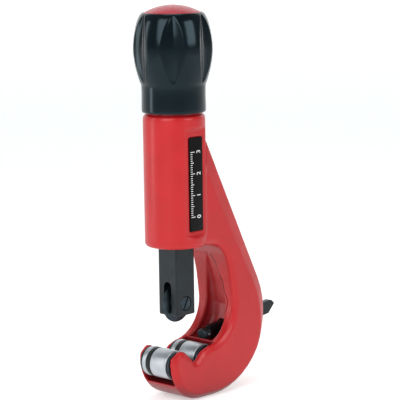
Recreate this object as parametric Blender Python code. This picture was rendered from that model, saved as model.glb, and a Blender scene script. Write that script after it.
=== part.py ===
# Telescopic tube cutter with an enclosed feed screw, built piece by piece.
#
# Frame of the part: the origin is midway between the two support roller axes, on the feed
# axis. +Z runs up the feed axis to the hand knob, the C of the frame opens towards -X, and
# the label panel is on the -Y side. Lengths are in metres; MM turns millimetres into them.

import math

import bmesh
import bpy
from mathutils import Matrix, Vector
from mathutils.geometry import tessellate_polygon

MM = 0.001

# ---- fits ----
GAP = 0.3 * MM                  # clearance between two pieces that touch on the real tool
OVERCUT = 4.0 * MM              # how far a cutter runs past the face that it opens

# ---- barrel, neck and label panels ----
BARREL_R = 14.4 * MM
BARREL_BOTTOM = 54.5 * MM
BARREL_TOP = 115.9 * MM
BARREL_ROUND = 1.5 * MM         # rounded ends of the barrel
NECK_R = 13.0 * MM
NECK_TOP = 129.0 * MM
NECK_EDGE = 0.5 * MM
BEARING_WALL = 5.0 * MM         # wall at the neck's top that takes the cutting thrust
PANEL_Y = 13.0 * MM             # flat label panels, from the middle plane
PANEL_X_LOW = -6.4 * MM
PANEL_X_HIGH = 7.4 * MM
PANEL_BOTTOM = 59.9 * MM
PANEL_TOP = 109.8 * MM
PANEL_ROOT = 6.0 * MM           # how deep the raised part of a panel runs into the casting

# ---- label plate ----
LABEL_W = 8.3 * MM
LABEL_H = 43.2 * MM
LABEL_X = 0.5 * MM
LABEL_Z = 84.2 * MM
LABEL_T = 0.6 * MM
LABEL_SUNK = 0.5 * MM           # depth of its seat in the panel

# ---- C frame ----
SIDE_Y = 12.5 * MM              # flat side faces, from the middle plane
BACK_Y = 10.0 * MM              # half width of the flat back, inside the bevels
THROAT_Y = 11.3 * MM            # half width of the throat, inside its bevels
BACK_LEAN = math.radians(26.3)  # lean of the straight back from the feed axis
BACK_DIST = 55.4 * MM           # distance of the back's line from the origin
BACK_TOP_X = 9.0 * MM           # where that line ends inside the barrel
HIDDEN_X = 2.0 * MM             # how far the C runs past the feed axis, inside the barrel
HEEL = (13.2 * MM, 18.0 * MM)   # centre of the large arc round the heel of the C
HEEL_R = 35.6 * MM
TOE = (4.0 * MM, 1.3 * MM)      # centre of the arc round the roller end
TOE_R = 18.9 * MM
THROAT = (7.8 * MM, 24.4 * MM)  # centre of the throat's arc
THROAT_R = 18.3 * MM
CEILING_Z = 54.3 * MM           # top of the throat, beside the barrel
BEVEL_TOP = 8.4 * MM            # width of the back bevel beside the barrel
BEVEL_HEEL = 5.0 * MM           # width of the back bevel at the heel
BEVEL_TOE = 2.2 * MM            # width of the bevel under the C and round the toe
BEVEL_THROAT = 2.4 * MM         # width of the throat's bevel

# ---- support rollers ----
ROLLER_R = 6.93 * MM
ROLLER_X = 9.15 * MM            # roller axes, each side of the feed axis
ROLLER_L = 15.5 * MM
ROLLER_EDGE = 0.5 * MM          # chamfer of the roller ends
BAND_Y = 3.9 * MM               # middle of the rubber band, from the middle plane
BAND_W = 2.4 * MM
BAND_T = 0.75 * MM
BAND_DROP = 0.05 * MM          # how far the band lies under the roller's face
PIN_R = 2.3 * MM
CHANNEL_Y = 9.5 * MM            # half width of the channel that holds the rollers
CHANNEL_FLOOR = 9.3 * MM        # depth of the channel's floor below the roller axes
CHANNEL_CLEAR = 1.0 * MM        # room behind the rear roller
PIN_SKIN = 1.3 * MM             # metal left over the blind end of each pin hole
WASHER_R = 6.5 * MM

# ---- telescopic slide and cutter wheel ----
SLIDE_W = 12.0 * MM
SLIDE_BOTTOM = 21.9 * MM        # at rest
SLIDE_L = 66.0 * MM
SLIDE_EDGE = 0.8 * MM
FORK_W = 4.8 * MM               # width of the wheel's fork slot
FORK_CROWN = 10.3 * MM          # height of the slot's crown over the wheel's axis
WHEEL_R = 9.5 * MM
WHEEL_UP = 5.7 * MM             # wheel axis above the slide's bottom
WHEEL_HUB_R = 4.4 * MM
WHEEL_HUB_W = 4.0 * MM
WHEEL_DISC_W = 1.6 * MM         # thickness of the disc where its V edge begins
WHEEL_V = 3.2 * MM              # height of the V edge
AXLE_R = 2.2 * MM
AXLE_HEAD_R = 3.2 * MM
AXLE_HEAD_H = 2.0 * MM
SCREW_SLOT_W = 0.8 * MM
SCREW_SLOT_H = 0.9 * MM
AXLE_SLOT_TURN = math.radians(-30)

# ---- feed screw and its bearing ----
SCREW_R = 4.0 * MM              # over the trapezoidal thread
SCREW_BOTTOM = 58.0 * MM
COLLAR_R = 5.8 * MM
COLLAR_H = 2.5 * MM
THRUST_H = 0.9 * MM             # both thrust washers
SPINDLE_R = 3.5 * MM            # plain end of the screw, in the bush
BUSH_WALL = 1.7 * MM
BUSH_FLANGE_R = 7.5 * MM
BUSH_FLANGE_H = 1.2 * MM
DRIVE_PIN_R = 1.0 * MM
DRIVE_PIN_L = 15.0 * MM
DRIVE_PIN_UP = 3.0 * MM         # pin above the knob's hub face

# ---- knob ----
KNOB_BOTTOM = 117.0 * MM
KNOB_SKIRT_R = 14.85 * MM
KNOB_R = 18.3 * MM
KNOB_BELLY = 145.0 * MM         # height of the largest radius
KNOB_SHOULDER_R = 15.0 * MM
KNOB_TOP = 162.4 * MM
KNOB_SKIRT_TOP = 129.0 * MM
FLUTES = 6
FLUTE_DEPTH = 1.9 * MM
FLUTE_HALF = math.radians(15)   # half of a flute's width round the knob
FLUTE_PHASE = math.radians(225) # a flute faces this way
FLUTE_BOTTOM = 131.0 * MM
FLUTE_TOP = 160.0 * MM
HUB_TOP = 150.0 * MM            # floor of the knob's top recess, under the spare wheel's step
HUB_SHOULDER = 2.0 * MM         # plastic that the knob's screw clamps
STEP_Z = 154.5 * MM             # step that the spare wheel lies on
KNOB_SCREW_R = 2.0 * MM
KNOB_SCREW_HEAD_R = 3.0 * MM
KNOB_SCREW_HEAD_H = 2.5 * MM
KNOB_SCREW_L = 13.0 * MM
KNOB_WASHER_R = 3.3 * MM
KNOB_WASHER_H = 0.8 * MM
STEP_R = 3.6 * MM               # well of the screw's head; the spare wheel's hub spans it

# ---- cap ----
CAP_R = 13.2 * MM
CAP_RIM = 1.5 * MM
CAP_DOME = 3.5 * MM             # rise of the dome over its rim
CAP_PLUG_R = 11.2 * MM
CAP_PLUG_L = 2.6 * MM
CAP_PLUG_WALL = 1.4 * MM
CAP_WALL = 1.5 * MM

# ---- reamer ----
REAM_TILT = math.radians(8.0)   # rise of its axis towards the back of the C
REAM_BUTTON_X = 16.0 * MM       # thumb face of the button
REAM_BUTTON_Z = 8.8 * MM
REAM_L = 46.0 * MM              # blade, from the button's seat to its point
REAM_W = 6.2 * MM
REAM_T = 2.6 * MM
REAM_POINT = 4.6 * MM           # length of the spear point
BUTTON_R = 2.9 * MM
BUTTON_L = 4.6 * MM
BUTTON_FORK = 3.4 * MM          # depth of the button's slot, which the blade's tang enters
RIVET_R = 0.7 * MM
REAM_TRAVEL = 8.0 * MM
GROOVE_W = 2.4 * MM
GROOVE_D = 0.6 * MM
DETENT_S = 21.0 * MM            # detent ball, along the blade from the button's face
BALL_R = 1.5 * MM
BALL_SUNK = 0.3 * MM            # how far the ball reaches into the groove
SPRING_WIRE = 0.3 * MM
SPRING_TURNS = 5
PLUG_R = 2.0 * MM
PLUG_L = 2.8 * MM

ROUND = 28                      # sides of a turned piece
FINE = 16                       # sides of a small turned piece
KNOB_SIDES = 36
COIL_STEPS = 8                  # points in each turn of the spring


# ---- shared tools ----

def clear_scene():
    for obj in list(bpy.data.objects):
        bpy.data.objects.remove(obj, do_unlink=True)


def finish(name, colour, rough, metal):
    mat = bpy.data.materials.new(name)
    mat.use_nodes = True
    shader = mat.node_tree.nodes["Principled BSDF"]
    shader.inputs["Base Color"].default_value = (*colour, 1.0)
    shader.inputs["Roughness"].default_value = rough
    shader.inputs["Metallic"].default_value = metal
    return mat


def to_object(bm, name, mat, at=(0, 0, 0)):
    bmesh.ops.recalc_face_normals(bm, faces=bm.faces)
    mesh = bpy.data.meshes.new(name)
    bm.to_mesh(mesh)
    bm.free()
    mesh.shade_smooth()
    mesh.set_sharp_from_angle(angle=math.radians(35))
    obj = bpy.data.objects.new(name, mesh)
    obj.location = at
    bpy.context.scene.collection.objects.link(obj)
    if mat:
        mesh.materials.append(mat)
    return obj


def turned_mesh(outline, sides, axis="Z"):
    """A turned piece: outline holds (radius, height) points from the bottom to the top."""
    bm = bmesh.new()
    rings = []
    for radius, height in outline:
        if radius <= 0:
            rings.append([bm.verts.new((0, 0, height))])
            continue
        steps = [2 * math.pi * k / sides for k in range(sides)]
        rings.append([bm.verts.new((radius * math.cos(t), radius * math.sin(t), height)) for t in steps])
    closed = outline[0] == outline[-1]
    if closed:
        rings[-1] = rings[0]
    for low, high in zip(rings, rings[1:]):
        for k in range(sides):
            n = (k + 1) % sides
            corners = [low[k % len(low)], low[n % len(low)], high[n % len(high)], high[k % len(high)]]
            bm.faces.new(list(dict.fromkeys(corners)))
    bmesh.ops.delete(bm, geom=[v for v in bm.verts if not v.link_faces], context="VERTS")
    if axis == "Y":
        bmesh.ops.rotate(bm, verts=bm.verts, matrix=Matrix.Rotation(math.radians(-90), 3, "X"))
    if axis == "X":
        bmesh.ops.rotate(bm, verts=bm.verts, matrix=Matrix.Rotation(math.radians(90), 3, "Y"))
    return bm


def turned(name, mat, outline, at=(0, 0, 0), sides=ROUND, axis="Z"):
    return to_object(turned_mesh(outline, sides, axis), name, mat, at)


def ring_outline(inner, outer, low, high, edge=0.0):
    return [(inner, low), (outer - edge, low), (outer, low + edge), (outer, high - edge),
            (outer - edge, high), (inner, high), (inner, low)] if edge else [
            (inner, low), (outer, low), (outer, high), (inner, high), (inner, low)]


def rod_outline(radius, low, high, edge=0.0):
    return [(0, low), (radius - edge, low), (radius, low + edge), (radius, high - edge),
            (radius - edge, high), (0, high)] if edge else [
            (0, low), (radius, low), (radius, high), (0, high)]


def block_mesh(low, high, edge=0.0, along="XYZ"):
    """A box between two corners, its edges along the named axes chamfered."""
    bm = bmesh.new()
    size = Vector(high) - Vector(low)
    middle = (Vector(high) + Vector(low)) / 2
    bmesh.ops.create_cube(bm, size=1, matrix=Matrix.Translation(middle) @ Matrix.Diagonal((*size, 1)))
    if edge:
        picked = []
        for e in bm.edges:
            run = e.verts[1].co - e.verts[0].co
            name = "XYZ"[max(range(3), key=lambda k: abs(run[k]))]
            if name in along:
                picked.append(e)
        bmesh.ops.bevel(bm, geom=picked, offset=edge, segments=2, affect="EDGES", profile=0.5)
    return bm


def block(name, mat, low, high, edge=0.0, along="XYZ", at=(0, 0, 0)):
    return to_object(block_mesh(low, high, edge, along), name, mat, at)


def fill(bm, ring, points):
    """Fill a flat, possibly hollow-sided ring; worked in millimetres, where it is exact enough."""
    flat = [Vector((x / MM, z / MM, 0)) for x, z in points]
    for corners in tessellate_polygon([flat]):
        bm.faces.new([ring[k] for k in corners])


def prism_mesh(points, low, high, axis="Y"):
    """An outline in XZ (or XY) pulled along Y (or Z)."""
    bm = bmesh.new()
    place = {"Y": lambda p, h: (p[0], h, p[1]), "Z": lambda p, h: (p[0], p[1], h)}[axis]
    base = [bm.verts.new(place(p, low)) for p in points]
    top = [bm.verts.new(place(p, high)) for p in points]
    fill(bm, base, points)
    fill(bm, top, points)
    for k in range(len(points)):
        n = (k + 1) % len(points)
        bm.faces.new([base[k], top[k], top[n], base[n]])
    return bm


def arc(centre, radius, start, stop, steps):
    """Points on an arc in a plane, angles in degrees."""
    turn = [math.radians(start + (stop - start) * k / steps) for k in range(steps + 1)]
    return [(centre[0] + radius * math.cos(t), centre[1] + radius * math.sin(t)) for t in turn]


def boolean(obj, other, operation):
    mod = obj.modifiers.new(other.name, "BOOLEAN")
    mod.operation = operation
    # on the frame's many crossing faces the exact solver leaves doubled edges
    mod.solver = "MANIFOLD" if obj.name == "frame" else "EXACT"
    mod.object = other
    bpy.context.view_layer.update()
    graph = bpy.context.evaluated_depsgraph_get()
    mesh = bpy.data.meshes.new_from_object(obj.evaluated_get(graph))
    obj.modifiers.clear()
    old = obj.data
    obj.data = mesh
    mesh.name = obj.name
    bpy.data.meshes.remove(old)
    bpy.data.objects.remove(other, do_unlink=True)


def cutter(bm, name):
    obj = to_object(bm, name, None)
    obj.hide_render = True
    obj.display_type = "WIRE"
    return obj


def cut(obj, bm, name="cutter"):
    boolean(obj, cutter(bm, name), "DIFFERENCE")


def join(obj, bm, name="boss"):
    boolean(obj, cutter(bm, name), "UNION")


def tidy(obj):
    """Set the shading again after the booleans."""
    obj.data.shade_smooth()
    obj.data.set_sharp_from_angle(angle=math.radians(35))


# ---- the frame's outlines, in XZ ----

def back_line(x):
    return (BACK_DIST - x * math.cos(BACK_LEAN)) / math.sin(BACK_LEAN)


def inset(points, widths):
    """Each point of an open run moved to its left by its own width."""
    moved = []
    for k, p in enumerate(points):
        a = Vector(points[max(k - 1, 0)])
        b = Vector(points[min(k + 1, len(points) - 1)])
        run = (b - a).normalized()
        left = Vector((-run.y, run.x))
        moved.append(tuple(Vector(p) + left * widths[k]))
    return moved


def outer_run():
    """Down the straight back, round the heel, along the bottom and up round the toe."""
    lean = math.degrees(BACK_LEAN)
    heel_start = (HEEL[0] + HEEL_R * math.cos(BACK_LEAN), HEEL[1] + HEEL_R * math.sin(BACK_LEAN))
    top = (BACK_TOP_X, back_line(BACK_TOP_X))
    straight = [tuple(Vector(top).lerp(Vector(heel_start), s)) for s in (0, 0.2, 0.4, 0.6, 0.8)]
    heel = arc(HEEL, HEEL_R, lean, -90, 14)
    toe = arc(TOE, TOE_R, -90, -188, 10)
    points = straight + heel + toe
    widths = []
    for x, z in points:
        if z > HEEL[1]:
            share = (z - HEEL[1]) / (BARREL_BOTTOM + BARREL_R * 2 - HEEL[1])
            widths.append(BEVEL_HEEL + (BEVEL_TOP - BEVEL_HEEL) * min(share, 1))
        else:
            share = max(0.0, (z - TOE[1]) / (HEEL[1] - TOE[1]))
            widths.append(BEVEL_TOE + (BEVEL_HEEL - BEVEL_TOE) * share)
    return points, widths


def cheek_run():
    """Over the front roller's boss, down into the valley and up to the throat."""
    boss = [(-9.6, 7.1), (-7.2, 6.6), (-5.0, 4.8), (-3.0, 3.0), (-1.4, 1.2), (0.0, 0.4),
            (1.4, 1.2), (3.0, 2.9), (5.0, 4.6)]
    return [(x * MM, z * MM) for x, z in boss]


def throat_run():
    """From the foot of the throat's arc up to the ceiling under the barrel."""
    foot = arc(THROAT, THROAT_R, -85, 0, 12)
    wall = [(25.3 * MM, 31.5 * MM), (24.4 * MM, 38.0 * MM)]
    corner = [(23.0 * MM, 43.8 * MM), (21.0 * MM, 48.3 * MM), (18.2 * MM, 51.8 * MM), (15.0 * MM, 53.8 * MM)]
    return foot + wall + corner + [(12.0 * MM, CEILING_Z)]


def frame_body(mat):
    """The C as four rings across its thickness: two side faces and a full-size middle."""
    outer, outer_w = outer_run()
    inner = cheek_run() + throat_run()
    hidden = [(-HIDDEN_X, BARREL_BOTTOM + BARREL_ROUND), (-HIDDEN_X, back_line(BACK_TOP_X))]
    outer_in = inset(outer, [-w for w in outer_w])
    inner_in = inset(inner, [-BEVEL_THROAT] * len(inner))
    full = outer + inner + hidden
    small = outer_in + inner_in + hidden
    halves = [BACK_Y] * len(outer) + [THROAT_Y] * len(inner) + [BACK_Y] * len(hidden)
    bm = bmesh.new()
    rings = [[bm.verts.new((p[0], -SIDE_Y, p[1])) for p in small],
             [bm.verts.new((p[0], -h, p[1])) for p, h in zip(full, halves)],
             [bm.verts.new((p[0], h, p[1])) for p, h in zip(full, halves)],
             [bm.verts.new((p[0], SIDE_Y, p[1])) for p in small]]
    fill(bm, rings[0], small)
    fill(bm, rings[3], small)
    count = len(full)
    for near, far in zip(rings, rings[1:]):
        for k in range(count):
            n = (k + 1) % count
            bm.faces.new([near[k], far[k], far[n], near[n]])
    bmesh.ops.triangulate(bm, faces=bm.faces)
    return to_object(bm, "frame", mat)


def barrel_mesh():
    r = BARREL_ROUND
    low = [(BARREL_R - r + r * math.sin(t), BARREL_BOTTOM + r - r * math.cos(t))
           for t in (0, math.pi / 6, math.pi / 3, math.pi / 2)]
    high = [(x, BARREL_TOP + BARREL_BOTTOM - z) for x, z in reversed(low)]
    outline = [(0, BARREL_BOTTOM)] + low + high
    outline += [(NECK_R, BARREL_TOP), (NECK_R, NECK_TOP - NECK_EDGE)]
    outline += [(NECK_R - NECK_EDGE, NECK_TOP), (0, NECK_TOP)]
    return turned_mesh(outline, 40)


def pocket_mesh():
    """The almond-shaped recess down the middle of the throat, deepest above the rear roller."""
    stations = [(-66, 7.6, 4.2), (-52, 7.6, 5.6), (-38, 7.2, 6.4), (-22, 6.8, 6.2), (-6, 6.3, 5.4)]
    path = []
    for angle, half, depth in stations:
        t = math.radians(angle)
        away = Vector((math.cos(t), math.sin(t)))
        path.append((Vector(THROAT) + away * THROAT_R, away, half * MM, depth * MM))
    for x, z, half, depth in ((25.3, 31.5, 5.3, 4.0), (24.4, 38.0, 4.2, 2.4), (23.0, 43.8, 2.7, 1.0)):
        path.append((Vector((x, z)) * MM, Vector((0.98, 0.18)), half * MM, depth * MM))
    path.append((Vector((20.4, 49.2)) * MM, Vector((0.8, 0.6)), 0.5 * MM, 0.2 * MM))
    bm = bmesh.new()
    rings = []
    for base, away, half, depth in path:
        section = [(-half, -2.5 * MM), (-half, 0.0)]
        section += [(-half * math.cos(math.radians(a)) ** 0.6, depth * math.sin(math.radians(a)))
                    for a in (25, 50, 75)]
        section += [(-y, d) for y, d in reversed(section)]
        ring = []
        for y, d in section:
            p = base + away * d
            ring.append(bm.verts.new((p.x, y, p.y)))
        rings.append(ring)
    for low, high in zip(rings, rings[1:]):
        for k in range(len(low)):
            n = (k + 1) % len(low)
            bm.faces.new([low[k], low[n], high[n], high[k]])
    bm.faces.new(rings[0][::-1])
    bm.faces.new(rings[-1])
    bmesh.ops.triangulate(bm, faces=bm.faces)
    return bm


def channel_mesh():
    """Room for both rollers: open to the front and the top, closed behind the rear roller."""
    back = ROLLER_R + CHANNEL_CLEAR
    floor = -CHANNEL_FLOOR
    points = [(-TOE_R - OVERCUT, floor), (ROLLER_X, floor)]
    points += arc((ROLLER_X, 0), back, -80, 35, 9)
    points += [(ROLLER_X + back * 0.62, THROAT[1] - THROAT_R + OVERCUT), (-TOE_R - OVERCUT, 2 * ROLLER_R)]
    return prism_mesh(points, -CHANNEL_Y, CHANNEL_Y)


def ream_matrix(along=0.0):
    """Local axes of the reamer: X along its blade, origin on the button's thumb face."""
    place = Matrix.Translation((REAM_BUTTON_X, 0, REAM_BUTTON_Z))
    return place @ Matrix.Rotation(-REAM_TILT, 4, "Y") @ Matrix.Translation((along, 0, 0))


def feed_bore():
    return SLIDE_W / 2 + GAP


def build_frame(mats):
    frame = frame_body(mats["enamel"])
    join(frame, barrel_mesh(), "barrel")
    for side in (-1, 1):
        ends = sorted((side * PANEL_Y, side * PANEL_ROOT))
        panel = block_mesh((PANEL_X_LOW, ends[0], PANEL_BOTTOM), (PANEL_X_HIGH, ends[1], PANEL_TOP))
        join(frame, panel, "panel")
        ends = sorted((side * PANEL_Y, side * (BARREL_R + OVERCUT)))
        cut(frame, block_mesh((PANEL_X_LOW, ends[0], PANEL_BOTTOM), (PANEL_X_HIGH, ends[1], PANEL_TOP)))
    seat_low = (LABEL_X - LABEL_W / 2 - GAP, -PANEL_Y - OVERCUT, LABEL_Z - LABEL_H / 2 - GAP)
    seat_high = (LABEL_X + LABEL_W / 2 + GAP, -PANEL_Y + LABEL_SUNK, LABEL_Z + LABEL_H / 2 + GAP)
    cut(frame, block_mesh(seat_low, seat_high), "label_seat")
    bore = feed_bore()
    cut(frame, block_mesh((-bore, -bore, BARREL_BOTTOM - OVERCUT), (bore, bore, NECK_TOP - BEARING_WALL),
                          SLIDE_EDGE, "Z"), "feed_bore")
    bush_hole = SPINDLE_R + GAP + BUSH_WALL + GAP
    wall_low = NECK_TOP - BEARING_WALL - OVERCUT
    cut(frame, turned_mesh(rod_outline(bush_hole, wall_low, NECK_TOP + OVERCUT), ROUND))
    cut(frame, channel_mesh(), "channel")
    cut(frame, pocket_mesh(), "pocket")
    for x in (-ROLLER_X, ROLLER_X):
        hole = turned_mesh(rod_outline(PIN_R + GAP, -SIDE_Y + PIN_SKIN, SIDE_Y + OVERCUT), FINE, "Y")
        bmesh.ops.translate(hole, verts=hole.verts, vec=(x, 0, 0))
        cut(frame, hole, "pin_hole")
    half_w = REAM_W / 2 + GAP
    half_t = REAM_T / 2 + GAP
    slot = block_mesh((BUTTON_L, -half_t, -half_w), (REAM_L + HEEL_R, half_t, half_w))
    bmesh.ops.transform(slot, matrix=ream_matrix(), verts=slot.verts)
    cut(frame, slot, "reamer_slot")
    button_bore = turned_mesh(rod_outline(BUTTON_R + GAP, BUTTON_L, BUTTON_L + REAM_TRAVEL + GAP), FINE, "X")
    bmesh.ops.transform(button_bore, matrix=ream_matrix(), verts=button_bore.verts)
    cut(frame, button_bore, "button_bore")
    ball_hole = turned_mesh(rod_outline(BALL_R + GAP, 0, SIDE_Y + OVERCUT), FINE, "Y")
    bmesh.ops.transform(ball_hole, matrix=ream_matrix(DETENT_S), verts=ball_hole.verts)
    cut(frame, ball_hole, "ball_hole")
    plug_hole = turned_mesh(rod_outline(PLUG_R + GAP, SIDE_Y - PLUG_L - 2 * GAP, SIDE_Y + OVERCUT), FINE, "Y")
    bmesh.ops.transform(plug_hole, matrix=ream_matrix(DETENT_S), verts=plug_hole.verts)
    cut(frame, plug_hole, "plug_hole")
    tidy(frame)


def build_label(mats):
    back = -PANEL_Y + LABEL_SUNK - GAP
    block("label_plate", mats["label"], (LABEL_X - LABEL_W / 2, back - LABEL_T, LABEL_Z - LABEL_H / 2),
          (LABEL_X + LABEL_W / 2, back, LABEL_Z + LABEL_H / 2), 0.6 * MM, "Y")


# ---- rollers ----

def build_rollers(mats):
    half = ROLLER_L / 2
    bore = PIN_R + GAP
    groove_r = ROLLER_R - BAND_T - GAP
    groove = BAND_W / 2 + GAP
    edge = ROLLER_EDGE
    outline = [(bore, -half), (ROLLER_R - edge, -half), (ROLLER_R, -half + edge), (ROLLER_R, BAND_Y - groove),
               (groove_r, BAND_Y - groove), (groove_r, BAND_Y + groove), (ROLLER_R, BAND_Y + groove),
               (ROLLER_R, half - edge), (ROLLER_R - edge, half), (bore, half), (bore, -half)]
    washer_low = half + GAP
    washer_high = CHANNEL_Y - GAP
    band_low = BAND_Y - BAND_W / 2
    band = ring_outline(ROLLER_R - BAND_T, ROLLER_R - BAND_DROP, band_low, band_low + BAND_W, 0.2 * MM)
    for place, x in (("front", -ROLLER_X), ("rear", ROLLER_X)):
        at = (x, 0, 0)
        turned(place + "_roller", mats["roller"], outline, at, ROUND, "Y")
        turned(place + "_roller_band", mats["rubber"], band, at, ROUND, "Y")
        turned(place + "_roller_pin", mats["steel"],
               rod_outline(PIN_R, -SIDE_Y + PIN_SKIN + GAP, SIDE_Y - GAP, 0.3 * MM), at, FINE, "Y")
        turned(place + "_near_washer", mats["dark"],
               ring_outline(bore, WASHER_R, -washer_high, -washer_low), at, ROUND, "Y")
        turned(place + "_far_washer", mats["dark"],
               ring_outline(bore, WASHER_R, washer_low, washer_high), at, ROUND, "Y")


# ---- slide, cutter wheel and axle ----

def build_slide(mats):
    half = SLIDE_W / 2
    top = SLIDE_BOTTOM + SLIDE_L
    slide = block("slide", mats["black_steel"], (-half, -half, SLIDE_BOTTOM), (half, half, top), SLIDE_EDGE)
    axis_z = SLIDE_BOTTOM + WHEEL_UP
    crown_r = FORK_W / 2
    crown_z = axis_z + FORK_CROWN - crown_r
    slot = [(-crown_r, SLIDE_BOTTOM - OVERCUT)] + [(-x, z) for x, z in arc((0, crown_z), crown_r, 0, 180, 8)]
    slot += [(crown_r, SLIDE_BOTTOM - OVERCUT)]
    fork = prism_mesh(slot, -half - OVERCUT, half + OVERCUT)
    bmesh.ops.rotate(fork, verts=fork.verts, matrix=Matrix.Rotation(math.radians(90), 3, "Z"))
    cut(slide, fork, "fork")
    cut(slide, turned_mesh(rod_outline(SCREW_R + GAP, crown_z, top + OVERCUT), FINE), "screw_bore")
    shank = turned_mesh(rod_outline(AXLE_R + GAP, -half - OVERCUT, half + OVERCUT), FINE, "Y")
    bmesh.ops.translate(shank, verts=shank.verts, vec=(0, 0, axis_z))
    cut(slide, shank, "axle_hole")
    head = turned_mesh(rod_outline(AXLE_HEAD_R + GAP, -half - OVERCUT, -half + AXLE_HEAD_H + GAP), FINE, "Y")
    bmesh.ops.translate(head, verts=head.verts, vec=(0, 0, axis_z))
    cut(slide, head, "head_seat")
    tidy(slide)


def slotted(obj, radius, low, turn=0.0, centre=(0, 0, 0), axis="Y"):
    """A driver slot across a screw head whose outer face is at low, opening to -axis."""
    size = (radius + OVERCUT, SCREW_SLOT_W / 2)
    if axis == "Y":
        bm = block_mesh((-size[0], low - OVERCUT, -size[1]), (size[0], low + SCREW_SLOT_H, size[1]))
        bmesh.ops.rotate(bm, verts=bm.verts, matrix=Matrix.Rotation(turn, 3, "Y"))
    else:
        bm = block_mesh((-size[0], -size[1], low - OVERCUT), (size[0], size[1], low + SCREW_SLOT_H))
    bmesh.ops.translate(bm, verts=bm.verts, vec=centre)
    cut(obj, bm, "driver_slot")
    tidy(obj)


def wheel_outline():
    hub = WHEEL_HUB_W / 2
    disc = WHEEL_DISC_W / 2
    bore = AXLE_R + GAP
    half = [(bore, -hub), (WHEEL_HUB_R, -hub), (WHEEL_HUB_R + 0.3 * MM, -disc), (WHEEL_R - WHEEL_V, -disc)]
    return half + [(WHEEL_R, 0)] + [(r, -y) for r, y in reversed(half)] + [half[0]]


def build_wheel(mats):
    half = SLIDE_W / 2
    axis_z = SLIDE_BOTTOM + WHEEL_UP
    turned("cutter_wheel", mats["wheel"], wheel_outline(), (0, 0, axis_z), ROUND, "Y")
    head_low = -half + 0.1 * MM
    outline = [(0, head_low), (AXLE_HEAD_R - 0.2 * MM, head_low), (AXLE_HEAD_R, head_low + 0.2 * MM),
               (AXLE_HEAD_R, -half + AXLE_HEAD_H), (AXLE_R, -half + AXLE_HEAD_H),
               (AXLE_R, half - 0.6 * MM), (AXLE_R - 0.3 * MM, half - GAP), (0, half - GAP)]
    screw = turned("wheel_axle_screw", mats["dark"], outline, (0, 0, 0), FINE, "Y")
    slotted(screw, AXLE_HEAD_R, -half, AXLE_SLOT_TURN)
    screw.location = (0, 0, axis_z)


# ---- feed screw, its bearing and the knob ----

def hub_face():
    """Underside of the knob's hub: above the neck, the bush's flange and the upper washer."""
    return NECK_TOP + GAP + BUSH_FLANGE_H + GAP + THRUST_H + GAP


def build_feed(mats):
    wall_low = NECK_TOP - BEARING_WALL
    collar_top = wall_low - GAP - THRUST_H - GAP
    collar_low = collar_top - COLLAR_H
    spindle_top = HUB_TOP - HUB_SHOULDER - GAP
    outline = [(0, SCREW_BOTTOM), (SCREW_R - 0.8 * MM, SCREW_BOTTOM), (SCREW_R, SCREW_BOTTOM + 0.8 * MM),
               (SCREW_R, collar_low), (COLLAR_R, collar_low), (COLLAR_R, collar_top), (SPINDLE_R, collar_top),
               (SPINDLE_R, spindle_top), (0, spindle_top)]
    screw = turned("feed_screw", mats["steel"], outline, sides=FINE)
    pin_z = hub_face() + DRIVE_PIN_UP
    cross = turned_mesh(rod_outline(DRIVE_PIN_R + GAP, -SPINDLE_R - OVERCUT, SPINDLE_R + OVERCUT), 16, "X")
    bmesh.ops.translate(cross, verts=cross.verts, vec=(0, 0, pin_z))
    cut(screw, cross, "pin_hole")
    tapped = HUB_TOP + KNOB_WASHER_H + 2 * GAP - KNOB_SCREW_L - GAP
    cut(screw, turned_mesh(rod_outline(KNOB_SCREW_R + GAP, tapped, spindle_top + OVERCUT), 16), "tapped_hole")
    tidy(screw)
    bush_r = SPINDLE_R + GAP + BUSH_WALL
    bore = SPINDLE_R + GAP
    flange_low = NECK_TOP + GAP
    flange_top = flange_low + BUSH_FLANGE_H
    turned("feed_bush", mats["bronze"],
           [(bore, wall_low), (bush_r, wall_low), (bush_r, flange_low), (BUSH_FLANGE_R, flange_low),
            (BUSH_FLANGE_R, flange_top), (bore, flange_top), (bore, wall_low)], sides=FINE)
    turned("lower_thrust_washer", mats["steel"],
           ring_outline(SPINDLE_R + GAP, COLLAR_R, collar_top + GAP, collar_top + GAP + THRUST_H), sides=FINE)
    washer_low = flange_top + GAP
    turned("upper_thrust_washer", mats["steel"],
           ring_outline(bore, BUSH_FLANGE_R, washer_low, washer_low + THRUST_H), sides=FINE)
    turned("drive_pin", mats["steel"], rod_outline(DRIVE_PIN_R, -DRIVE_PIN_L / 2, DRIVE_PIN_L / 2, 0.2 * MM),
           (0, 0, pin_z), 16, "X")
    head_low = HUB_TOP + GAP + KNOB_WASHER_H + GAP
    head_high = head_low + KNOB_SCREW_HEAD_H
    knob_screw = turned("knob_screw", mats["steel"],
                        [(0, head_low - KNOB_SCREW_L), (KNOB_SCREW_R, head_low - KNOB_SCREW_L),
                         (KNOB_SCREW_R, head_low), (KNOB_SCREW_HEAD_R, head_low),
                         (KNOB_SCREW_HEAD_R, head_high), (0, head_high)], sides=FINE)
    socket = turned_mesh(rod_outline(1.7 * MM, head_high - 1.6 * MM, head_high + OVERCUT), 6)
    cut(knob_screw, socket, "hex_socket")
    tidy(knob_screw)
    seat = HUB_TOP + GAP
    turned("knob_washer", mats["steel"],
           ring_outline(KNOB_SCREW_R + GAP, KNOB_WASHER_R, seat, seat + KNOB_WASHER_H), sides=FINE)
    spare_z = STEP_Z + GAP + WHEEL_HUB_W / 2
    turned("spare_cutter_wheel", mats["wheel"], wheel_outline(), (0, 0, spare_z))


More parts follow.
